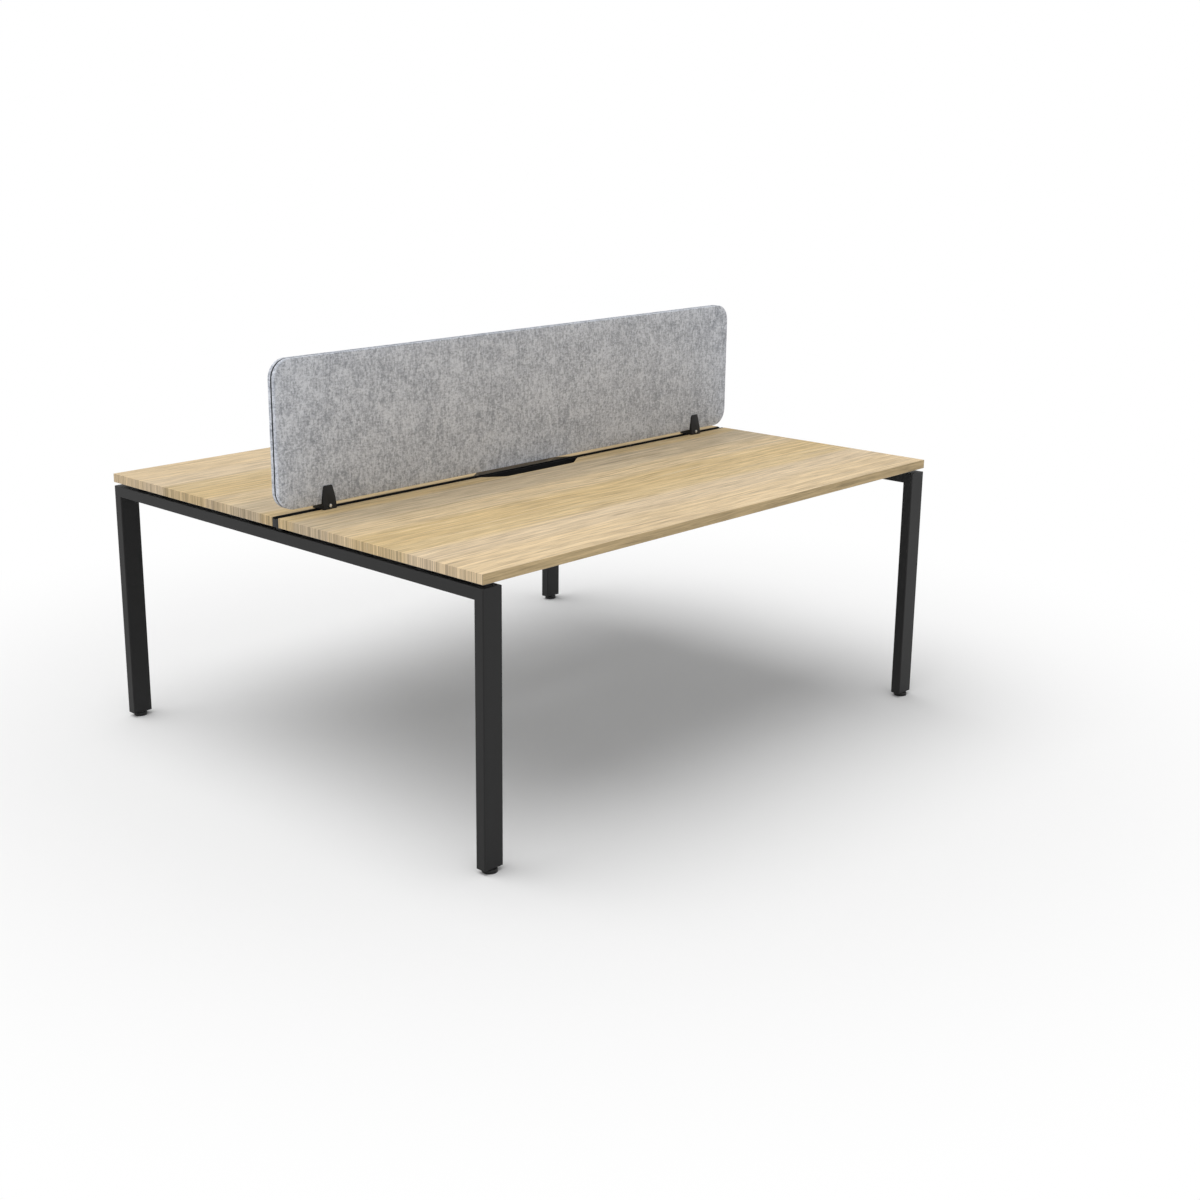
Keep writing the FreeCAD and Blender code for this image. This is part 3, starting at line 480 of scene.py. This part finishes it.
# Core board, near black partly in its own colour and partly as painted shade in the gap between the felt
# panels
CHIP_CELLS = 420.0
CHIP_TINTS = [(0.3, tint(0.006, 0.006, 0.007)), (0.7, tint(0.016, 0.016, 0.018))]
CORE_ROUGHNESS = 0.75
CHIP_ROUGH_SWING = 0.2
CORE_GLOSS = 0.2
CORE_BUMP = (0.2 * MM, 0.4)


def core_board(name):
    """Dark pressed board of the screen's core, darkened further as painted shade of the gap between the felt
    panels.
    """
    finish = new_finish(name)
    chips = finish.even_cloud(CHIP_CELLS, detail=3.0, rough=0.7)
    return finish.surface({
        "Base Color": finish.ramp(chips, CHIP_TINTS),
        "Roughness": CORE_ROUGHNESS + swing(chips, CHIP_ROUGH_SWING),
        "Normal": finish.bump(chips, *CORE_BUMP),
        "Specular IOR Level": CORE_GLOSS,
    })


FINISHES = {
    "oak_board": oak("oak decor board"),
    "oak_edging": oak("oak edge band", edge_band=True),
    "frame_black": powder_coat("black powder coat", shade=0.0112),
    # The channel's level faces are painted darker than its sides, painted shade in the slot between the tops
    "channel_black": powder_coat("black matt channel", shade=0.0040, gloss=0.05, roughness=0.75,
                                 upright=3.0),
    "bracket_black": powder_coat("black bracket coat", shade=0.0088, gloss=0.28, roughness=0.50),
    "plastic_black": powder_coat("black moulded plastic", shade=0.0090, gloss=0.35, roughness=0.44),
    "cap_grey": powder_coat("dark grey cap plastic", shade=0.0145, gloss=0.30, roughness=0.48),
    "felt_grey": felt("grey pressed felt"),
    "core_dark": core_board("dark core board"),
    "zinc_steel": plated("bright zinc plate", shade=0.72, roughness=0.30),
    "black_steel": plated("black oxide steel", shade=0.035, roughness=0.42),
}
slot_of = {part["node"]: part["material_slot"] for part in frame["record"]["subparts"]}
for name, item in nodes.items():
    for holder in item.material_slots:
        holder.material = FINISHES[slot_of[name]]

# Edges sharper than the first angle are rounded off, and creases past the second stay crisp
SHARP = math.radians(40)
CREASE = math.radians(35)
# Faces within this angle of each other count as one flat face
FLAT = math.radians(2)
# Points of a CAD mesh this close together are merged
WELD = 0.005 * MM
# Points this close to a plane or to each other touch
TOUCH = 0.001 * MM


def new_piece(name, mesh, stands_for, body="frame"):
    """A finished piece that stands for some of the frame's nodes and takes their slot."""
    data = bpy.data.meshes.new(name)
    mesh.to_mesh(data)
    mesh.free()
    piece = bpy.data.objects.new(name, data)
    bpy.context.scene.collection.objects.link(piece)
    slot = slot_of[stands_for[0]]
    data.materials.append(FINISHES[slot])
    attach(piece, body)
    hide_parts(*stands_for)


def smooth_by_angle(mesh):
    """Round surfaces shade smoothly, and creases stay crisp."""
    for face in mesh.faces:
        face.smooth = True
    for edge in mesh.edges:
        edge.smooth = edge.calc_face_angle(math.pi) < CREASE


def sharp_edges(edges):
    return [edge for edge in edges if edge.calc_face_angle(0) > SHARP]


def round_off(mesh, geometry, width, steps, affect="EDGES", clamp=False):
    bmesh.ops.bevel(mesh, geom=geometry, offset=width, segments=steps, profile=0.5, affect=affect,
                    clamp_overlap=clamp, material=-1)


def extrude(mesh, path):
    """Pull a flat shape along a path, so that it becomes a closed solid."""
    grown = bmesh.ops.extrude_face_region(mesh, geom=mesh.faces[:])
    far_end = [item for item in grown["geom"] if isinstance(item, bmesh.types.BMVert)]
    bmesh.ops.translate(mesh, verts=far_end, vec=path)
    bmesh.ops.recalc_face_normals(mesh, faces=mesh.faces[:])


# Screen panels, cut into cells so that their faces can be a little uneven
PANEL_CORNER = 50 * MM
PANEL_CORNER_STEPS = 14
PANEL_RIM = 2.0 * MM
PANEL_RIM_STEPS = 4
PANEL_CELL = 30 * MM
FELT_UNEVEN = 0.25 * MM
UNEVEN_CELLS = 14.0
X_AXIS = 0
Z_AXIS = 2


def slice_up(mesh, low, high, axis):
    """Cut every face with evenly spaced planes across an axis."""
    length = high[axis] - low[axis]
    count = round(length / PANEL_CELL)
    direction = Vector((0, 0, 0))
    direction[axis] = 1.0
    for index in range(1, count):
        point = direction * (low[axis] + length * index / count)
        geometry = mesh.verts[:] + mesh.edges[:] + mesh.faces[:]
        bmesh.ops.bisect_plane(mesh, geom=geometry, plane_co=point, plane_no=direction, dist=TOUCH)


def felt_panel(row_name, row):
    """A felt panel: flat against the core, with round corners, a soft rim and an uneven outer face."""
    stands_for = f"{row_name}_screen_panel"
    low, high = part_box(stands_for)
    inner_y = high.y if row < 0 else low.y
    outer_y = low.y if row < 0 else high.y
    mesh = bmesh.new()
    corners = [mesh.verts.new((x, inner_y, z)) for x, z in
               ((low.x, low.z), (high.x, low.z), (high.x, high.z), (low.x, high.z))]
    mesh.faces.new(corners)
    round_off(mesh, corners, PANEL_CORNER, PANEL_CORNER_STEPS, "VERTICES")
    slice_up(mesh, low, high, X_AXIS)
    slice_up(mesh, low, high, Z_AXIS)
    extrude(mesh, (0, outer_y - inner_y, 0))
    rim = [edge for edge in sharp_edges(mesh.edges)
           if all(abs(vert.co.y - outer_y) < TOUCH for vert in edge.verts)]
    round_off(mesh, rim, PANEL_RIM, PANEL_RIM_STEPS)
    for vert in mesh.verts:
        if abs(vert.co.y - inner_y) > TOUCH:
            dent = (1.0 + noise.noise(vert.co * UNEVEN_CELLS)) / 2
            vert.co -= vert.normal * FELT_UNEVEN * dent
    smooth_by_angle(mesh)
    new_piece(f"{row_name}_felt_panel", mesh, [stands_for])


# Channel between the tops, drawn as one extrusion
CHANNEL_EDGE = 0.4 * MM
CHANNEL_EDGE_STEPS = 2


def channel():
    floor_low, floor_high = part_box("channel_floor")
    wall_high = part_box("front_channel_wall")[1]
    lip_low, lip_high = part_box("front_channel_lip")
    out, inside, slit = floor_low.y, wall_high.y, lip_high.y
    profile = [
        (out, floor_low.z), (-out, floor_low.z), (-out, lip_high.z), (-slit, lip_high.z),
        (-slit, lip_low.z), (-inside, lip_low.z), (-inside, floor_high.z), (inside, floor_high.z),
        (inside, lip_low.z), (slit, lip_low.z), (slit, lip_high.z), (out, lip_high.z),
    ]
    mesh = bmesh.new()
    corners = [mesh.verts.new((floor_low.x, y, z)) for y, z in profile]
    mesh.faces.new(corners)
    round_off(mesh, corners, CHANNEL_EDGE, CHANNEL_EDGE_STEPS, "VERTICES")
    extrude(mesh, (floor_high.x - floor_low.x, 0, 0))
    smooth_by_angle(mesh)
    strips = ["channel_floor"] + [f"{row}_channel_{strip}" for row in ("front", "rear")
                                  for strip in ("wall", "lip")]
    new_piece("slotted_channel", mesh, strips)


# Machined and moulded pieces with eased edges
BOLT_EDGE = 0.3 * MM
CAP_EDGE = 0.5 * MM
BASE_EDGE = 0.5 * MM
CHEEK_EDGE = 0.8 * MM
EASED_STEPS = 3


def eased(node_name, piece_name, width):
    """A copy of a node whose sharp edges are eased by a small round."""
    mesh = bmesh.new()
    mesh.from_mesh(nodes[node_name].data)
    bmesh.ops.remove_doubles(mesh, verts=mesh.verts[:], dist=WELD)
    bmesh.ops.dissolve_limit(mesh, angle_limit=FLAT, verts=mesh.verts[:], edges=mesh.edges[:])
    round_off(mesh, sharp_edges(mesh.edges), width, EASED_STEPS, clamp=True)
    smooth_by_angle(mesh)
    new_piece(piece_name, mesh, [node_name])


# Levelling studs, measured up from the underside of the swivel disc
STUD_DIAMETER = 8.0 * MM
DISC_DIAMETER = 14.0 * MM
DISC_HEIGHT = 3.0 * MM
HEX_FLATS = 17.0 * MM
HEX_CORNERS = HEX_FLATS * 2 / math.sqrt(3)
HEX_SIDES = 6
HEX_LIFT = 6.3 * MM
HEX_HEIGHT = 2.4 * MM
ROUND_SIDES = 48
STUD_EDGE = 0.35 * MM
STUD_EDGE_STEPS = 2
THREAD_PITCH = 1.25 * MM
THREAD_DEPTH = 0.70 * MM
THREAD_STEPS = 36
# One ridge of the thread, as shares of the pitch upwards and of the depth outwards
THREAD_RIDGE = ((0.0, 0.0), (0.15, 0.0), (0.5, 1.0), (0.65, 1.0))


def drum(mesh, foot, diameter, height, sides=ROUND_SIDES):
    """An upright cylinder or prism that stands on foot, with its rims eased."""
    middle = foot + Vector((0, 0, height / 2))
    made = bmesh.ops.create_cone(mesh, cap_ends=True, segments=sides, radius1=diameter / 2,
                                 radius2=diameter / 2, depth=height, matrix=Matrix.Translation(middle))
    edges = dict.fromkeys(edge for vert in made["verts"] for edge in vert.link_edges)
    round_off(mesh, sharp_edges(edges), STUD_EDGE, STUD_EDGE_STEPS)


def thread(mesh, foot, height):
    """A screw thread: its side is swept round one turn that climbs one pitch."""
    side = []
    # The sweep adds the last turn
    for turn in range(int(height / THREAD_PITCH) - 1):
        for rise, out in THREAD_RIDGE:
            reach = STUD_DIAMETER / 2 - THREAD_DEPTH * (1.0 - out)
            side.append(mesh.verts.new(foot + Vector((reach, 0, (turn + rise) * THREAD_PITCH))))
    edges = [mesh.edges.new(pair) for pair in zip(side, side[1:])]
    bmesh.ops.spin(mesh, geom=side + edges, cent=foot, axis=(0, 0, 1), angle=2 * math.pi,
                   steps=THREAD_STEPS, dvec=(0, 0, THREAD_PITCH / THREAD_STEPS), use_duplicate=False)
    bmesh.ops.remove_doubles(mesh, verts=mesh.verts[:], dist=TOUCH)
    bmesh.ops.holes_fill(mesh, edges=[edge for edge in mesh.edges if edge.is_boundary])


def levelling_stud(corner):
    """A swivel disc, a plain shank, a hexagon and a thread that goes up into the leg."""
    stands_for = f"{corner}_foot_stud"
    low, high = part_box(stands_for)
    foot = Vector(((low.x + high.x) / 2, (low.y + high.y) / 2, low.z))
    hexagon = foot + Vector((0, 0, HEX_LIFT))
    mesh = bmesh.new()
    thread(mesh, hexagon, high.z - low.z - HEX_LIFT)
    drum(mesh, foot, DISC_DIAMETER, DISC_HEIGHT)
    drum(mesh, foot, STUD_DIAMETER, HEX_LIFT)
    drum(mesh, hexagon, HEX_CORNERS, HEX_HEIGHT, HEX_SIDES)
    bmesh.ops.recalc_face_normals(mesh, faces=mesh.faces[:])
    smooth_by_angle(mesh)
    new_piece(f"{corner}_levelling_stud", mesh, [stands_for], f"{corner}_stud")


channel()
eased("bracket_pinch_bolts", "screen_pinch_bolts", BOLT_EDGE)
for row_name, row in (("front", -1), ("rear", 1)):
    felt_panel(row_name, row)
for side in ("left", "right"):
    eased(f"{side}_channel_cap", f"{side}_channel_end_cap", CAP_EDGE)
    eased(f"{side}_bracket_base", f"{side}_screen_bracket_base", BASE_EDGE)
    for row_name in ("front", "rear"):
        eased(f"{side}_{row_name}_bracket_cheek", f"{side}_{row_name}_screen_cheek", CHEEK_EDGE)
        levelling_stud(f"{side}_{row_name}")


# Floor, light and camera
FLOOR_SIZE = 60.0
FLOOR_TINT = tint(0.93, 0.93, 0.93)
# The floor fades to white between these distances from the desk's middle
FLOOR_CLEAR = 1.1
FLOOR_WHITE = 2.5
# Light from all round, and from a broad lamp above; together they show a colour as it is written
SKY = 0.44
LAMP = 0.57
LAMP_SPREAD = math.radians(66)
# How far the shadow moves sideways for each metre of height
SHADOW_SHIFT = (0.280, -0.145)
WHITE = tint(1.0, 1.0, 1.0)


def seen_directly(finish):
    """1 for rays from the camera, off gloss or through glass, and 0 for light on its way to a surface."""
    straight = finish.node("ShaderNodeLightPath", output="Is Camera Ray")
    glossy = finish.node("ShaderNodeLightPath", output="Is Glossy Ray")
    through = finish.node("ShaderNodeLightPath", output="Is Transmission Ray")
    return finish.mask(straight + glossy + through, 0.0, 1.0)


def studio_floor():
    mesh = bmesh.new()
    bmesh.ops.create_grid(mesh, x_segments=1, y_segments=1, size=FLOOR_SIZE / 2)
    data = bpy.data.meshes.new("studio floor")
    mesh.to_mesh(data)
    mesh.free()
    floor = bpy.data.objects.new("studio_floor", data)
    bpy.context.scene.collection.objects.link(floor)
    finish = new_finish("studio floor")
    at = finish.node("ShaderNodeTexCoord", output="Object")
    distance = finish.node("ShaderNodeVectorMath", {"operation": "LENGTH"}, {0: at}, "Value")
    fade = finish.mask(distance, FLOOR_CLEAR, FLOOR_WHITE)
    lit = finish.node("ShaderNodeBsdfDiffuse", None, {"Color": FLOOR_TINT})
    white = finish.node("ShaderNodeEmission", None, {"Color": WHITE, "Strength": 1.0})
    shown = finish.node("ShaderNodeMixShader", None, {0: fade * seen_directly(finish), 1: lit, 2: white})
    finish.node("ShaderNodeOutputMaterial", None, {"Surface": shown})
    data.materials.append(finish.owner)


def studio_sky():
    world = bpy.data.worlds.new("studio sky")
    bpy.context.scene.world = world
    finish = Finish(world)
    soft = finish.node("ShaderNodeBackground", None, {"Color": WHITE, "Strength": SKY})
    white = finish.node("ShaderNodeBackground", None, {"Color": WHITE, "Strength": 1.0})
    shown = finish.node("ShaderNodeMixShader", None, {0: seen_directly(finish), 1: soft, 2: white})
    finish.node("ShaderNodeOutputWorld", None, {"Surface": shown})


def overhead_lamp():
    lamp = bpy.data.lights.new("overhead lamp", "SUN")
    lamp.angle = LAMP_SPREAD
    lamp.energy = LAMP * math.pi
    holder = bpy.data.objects.new("overhead_lamp", lamp)
    travel = Vector((*SHADOW_SHIFT, -1.0))
    holder.rotation_euler = travel.to_track_quat("-Z", "Y").to_euler()
    bpy.context.scene.collection.objects.link(holder)


# The photograph's frame is 1200 pixels square, and the camera is fitted to the desk's edges in it
PHOTO_SIDE = 1200.0
FOCAL_PIXELS = 1653.16
AXIS_PIXEL = (527.06, 557.11)
SENSOR_WIDTH = 36.0
VIEW_DEPTH = 100.0
CAMERA_PLACE = (-3.32474, -3.32580, 1.70663)
CAMERA_TILT = math.radians(75.13)
CAMERA_TURN = math.radians(-45.0)


def photo_camera():
    lens = bpy.data.cameras.new("photo camera")
    lens.sensor_width = SENSOR_WIDTH
    lens.lens = SENSOR_WIDTH * FOCAL_PIXELS / PHOTO_SIDE
    lens.shift_x = (PHOTO_SIDE / 2 - AXIS_PIXEL[0]) / PHOTO_SIDE
    lens.shift_y = (AXIS_PIXEL[1] - PHOTO_SIDE / 2) / PHOTO_SIDE
    lens.clip_end = VIEW_DEPTH
    camera = bpy.data.objects.new("photo_camera", lens)
    camera.location = CAMERA_PLACE
    camera.rotation_euler = (CAMERA_TILT, 0.0, CAMERA_TURN)
    bpy.context.scene.collection.objects.link(camera)
    bpy.context.scene.camera = camera


studio_floor()
studio_sky()
overhead_lamp()
photo_camera()
bpy.context.scene.view_settings.view_transform = "Standard"
